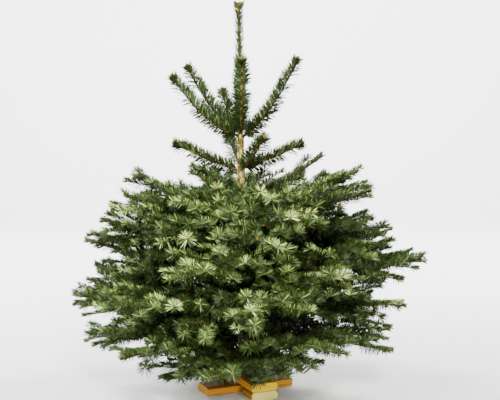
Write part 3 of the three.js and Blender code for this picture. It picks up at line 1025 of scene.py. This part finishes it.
def sprays_all_round(curves, per_mm, pitch, size, tint):
    """Sprays whose needles stand all round the shoot, evenly from one end to the other."""
    values = dict(
        per_mm=per_mm, pitch=pitch, size=size, first=0, width=NEEDLE_WIDTH, spread=180,
        all_round=1, ahead=0, shorter=0, blunt=0, crowding=1,
    )
    rows = {key: value * np.ones(len(curves)) for key, value in values.items()}
    return dict(rows, curves=curves, tint=tint * np.ones(len(curves), int))


def add_needles():
    """The needles of each group of tiers as one piece, which replaces their foliage.

    `shoot` marks the free upper shoots, and `front` is 1 where a twig ends towards the front
    or the back. Sprays inside the crown have fewer and wider needles. The heads are the
    tufts round the buds of the upper shoots.
    """
    tint, outer = spray_tints()
    materials = [needle_material(name, color) for name, color in NEEDLE_COLORS]
    order, tier = twigs["order"], twigs["tier"]
    shoot = tier < 2
    front = np.abs(unit(twigs["curves"][:, 2] - twigs["curves"][:, 1])[:, 1])
    shaggy = dice.uniform(0, 1, len(order)) < 0.3
    fullness = 0.6 + 0.98 * np.clip(1.6 * outer - 0.3, 0, 1)
    wider = np.where(shoot, 0.2, 0.7 * np.clip(1.4 - 2 * outer, 0, 1))
    sprays = dict(
        curves=twigs["curves"],
        tier=tier,
        first=np.select([(order == 0) & shoot, order == 0], [0.07, 0.15], 0.06),
        width=NEEDLE_WIDTH - 0.4 * (tint > GREEN) + wider,
        per_mm=np.where(shoot, 3.0, fullness * (0.9 + 0.3 * front)),
        spread=np.where(shoot, 160.0, np.where(shaggy, 170.0, 130.0)),
        all_round=np.zeros(len(order)),
        ahead=np.where(shoot, 0.2, 0.25),
        shorter=np.where(shoot, 0.05, 0.38),
        blunt=np.where(shoot, 0.3, 0.1 + 0.3 * (1 - front)),
        crowding=np.where(shoot, 1.0, 1.3 + 0.3 * front),
        pitch=np.where(shoot, 62.0, 50.0 + 18.0 * front),
        size=np.where(shoot, 1.32, 1.0 + 0.14 * front + 0.08 * dice.uniform(-1, 1, len(order))),
        tint=tint,
    )
    upper = limb_tier < 2
    at, along, _, _ = frames_at(limbs[upper], np.ones(upper.sum()))
    head_curves = at[:, None] + np.array([-15, -6, 1])[None, :, None] * along[:, None]
    heads = sprays_all_round(head_curves, per_mm=4.2, pitch=72, size=0.58, tint=GREEN)
    heads["tier"] = limb_tier[upper]
    sprays = {key: np.concatenate([sprays[key], heads[key]]) for key in sprays}
    for group in NEEDLE_GROUPS:
        chosen = np.isin(sprays["tier"], group)
        points, quads, hue = needle_shape({key: value[chosen] for key, value in sprays.items()})
        name = f"needles_{group[0] + 1}"
        piece = add_object(name, fill_mesh(name, points * MM, quads, materials, hue))
        masses = [f"foliage_{k + 1}_{i + 1}" for k in group for i in range(len(TIERS[k]["limbs"]))]
        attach(piece, "root")
        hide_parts(*masses)


def add_leader_needles():
    """The leader's thin needles, all round it: below, above, and the tuft at its buds."""
    heights = np.array([[678.0, 765.0, 852.0], [852.0, 920.0, 990.0], [983.0, 989.0, 997.0]])
    points, quads, hue = needle_shape(sprays_all_round(
        np.stack([lean_at(heights), 0 * heights, heights], -1),
        per_mm=np.array([2.5, 1.6, 7]),
        pitch=np.array([44, 44, 60]),
        size=np.array([1.12, 0.86, 0.74]),
        tint=np.array([LIGHT, DARK, LIGHT]),
    ))
    materials = [needle_material("leader_" + name, color) for name, color in NEEDLE_COLORS]
    mesh = fill_mesh("needles_leader", points * MM, quads, materials, hue)
    piece = add_object("needles_leader", mesh)
    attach(piece, "root")
    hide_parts("leader_needles")


add_needles()
add_leader_needles()

# ---- Buds ----
# Blunt resinous buds of tight scales, golden brown, 5 to 10 mm long. One ends each shoot,
# with two more beside it on a main twig and four on a limb. The leader ends in a ring of
# four round a fifth, and has two more below.

BUD_LENGTH = 8  # times a size from 0.45 to 1.7
BUD_RADIUS = 2.6
BUD_SIDES = 5
WAIST = 0.45  # share of the length where a bud is widest
SIZE_BY_ORDER = np.array([0.9, 0.74, 0.55, 0.45])
UPPER_SIZE = 1.5  # on the two top tiers
SIDE_BUDS = ((20, 1), (160, 1), (90, 0), (270, 0))  # turn in degrees, and the last order
SIDE_BUD_SIZE = 0.9
LEADER_TOP = 990.0
LEADER_RING = (20, 100, 190, 280)  # degrees
LEADER_SIDE_BUDS = ((938.0, -1.7), (888.0, 0.1))  # height, and turn in radians
SMALL_BUD = 0.5  # buds under this size take the darker brown copy, as painted shade
BUD_GOLD = linear(116, 92, 36)
BUD_SHADE_BROWN = linear(72, 58, 28)


def bud_shape(feet, headings, sides, size):
    """Spindles: a circle of 0.6 of the radius at the foot, a full one at the waist, a point.

    Each point is foot + size x (way along the heading + radius x circle), and the foot is
    closed by triangles to its middle.
    """
    side = unit(sides - (sides * headings).sum(1, keepdims=True) * headings)
    circle = circles(side, np.cross(side, headings), BUD_SIDES)
    scale = size[:, None, None]
    foot = feet[:, None] + 0.6 * BUD_RADIUS * scale * circle
    waist = feet[:, None] + scale * (WAIST * BUD_LENGTH * headings[:, None] + BUD_RADIUS * circle)
    tip = feet[:, None] + scale * BUD_LENGTH * headings[:, None]
    points = np.concatenate([foot, waist, tip, feet[:, None]], 1)
    i = np.arange(BUD_SIDES)
    after = (i + 1) % BUD_SIDES
    middle = np.full(BUD_SIDES, 2 * BUD_SIDES + 1)
    faces = np.concatenate([
        ring_quads(1, 2, BUD_SIDES),
        cap_quads(i + BUD_SIDES, 2 * BUD_SIDES),
        np.stack([after, i, middle, middle], 1),
    ])
    quads = (np.arange(len(feet)) * points.shape[1])[:, None, None] + faces
    return points.reshape(-1, 3), quads.reshape(-1, 4)


def add_buds():
    """The buds at the end of each shoot and at the leader's top, as one piece."""
    curves, order, upper = twigs["curves"], twigs["order"], twigs["tier"] < 2
    at, along, across, above = frames_at(curves, np.where(upper, 1.0, 0.98))
    size = SIZE_BY_ORDER[order] * np.where(upper, UPPER_SIZE, 1.0)
    feet, headings, sides, sizes = [at], [along], [across], [size]
    for turn, most in SIDE_BUDS:
        out = math.cos(math.radians(turn)) * across + math.sin(math.radians(turn)) * above
        chosen = order <= most
        feet.append(at[chosen])
        headings.append(unit(along + 0.8 * out)[chosen])
        sides.append(np.cross(along, out)[chosen])
        sizes.append(SIDE_BUD_SIZE * size[chosen])
    top = np.array([lean_at(LEADER_TOP), 0, LEADER_TOP])
    for turn in np.radians(LEADER_RING):
        feet.append(top[None] + 3 * np.array([math.cos(turn), math.sin(turn), 0]))
        headings.append(unit(np.array([[math.cos(turn), math.sin(turn), 0.7]])))
        sides.append(UP[None])
        sizes.append(np.array([1.7]))
    for height, turn in LEADER_SIDE_BUDS:
        feet.append(np.array([[lean_at(height), 0, height]]))
        headings.append(unit(np.array([[math.cos(turn), math.sin(turn), 0.5]])))
        sides.append(UP[None])
        sizes.append(np.array([1.1]))
    feet.append(top[None] + 2 * UP)
    headings.append(UP[None])
    sides.append(np.array([[1.0, 0, 0]]))
    sizes.append(np.array([1.2]))
    size = np.concatenate(sizes)
    points, quads = bud_shape(*(np.concatenate(rows) for rows in (feet, headings, sides)), size)
    # Painted shade: the smallest buds get the darker brown copy of the bud colour.
    finish = np.repeat((size < SMALL_BUD).astype(int), len(quads) // len(size))
    materials = [
        twig_material("bud_gold", BUD_GOLD, 0.5),
        twig_material("bud_shade_brown", BUD_SHADE_BROWN, 0.5),
    ]
    piece = add_object("buds", fill_mesh("buds", points * MM, quads, materials, finish))
    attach(piece, "root")


add_buds()
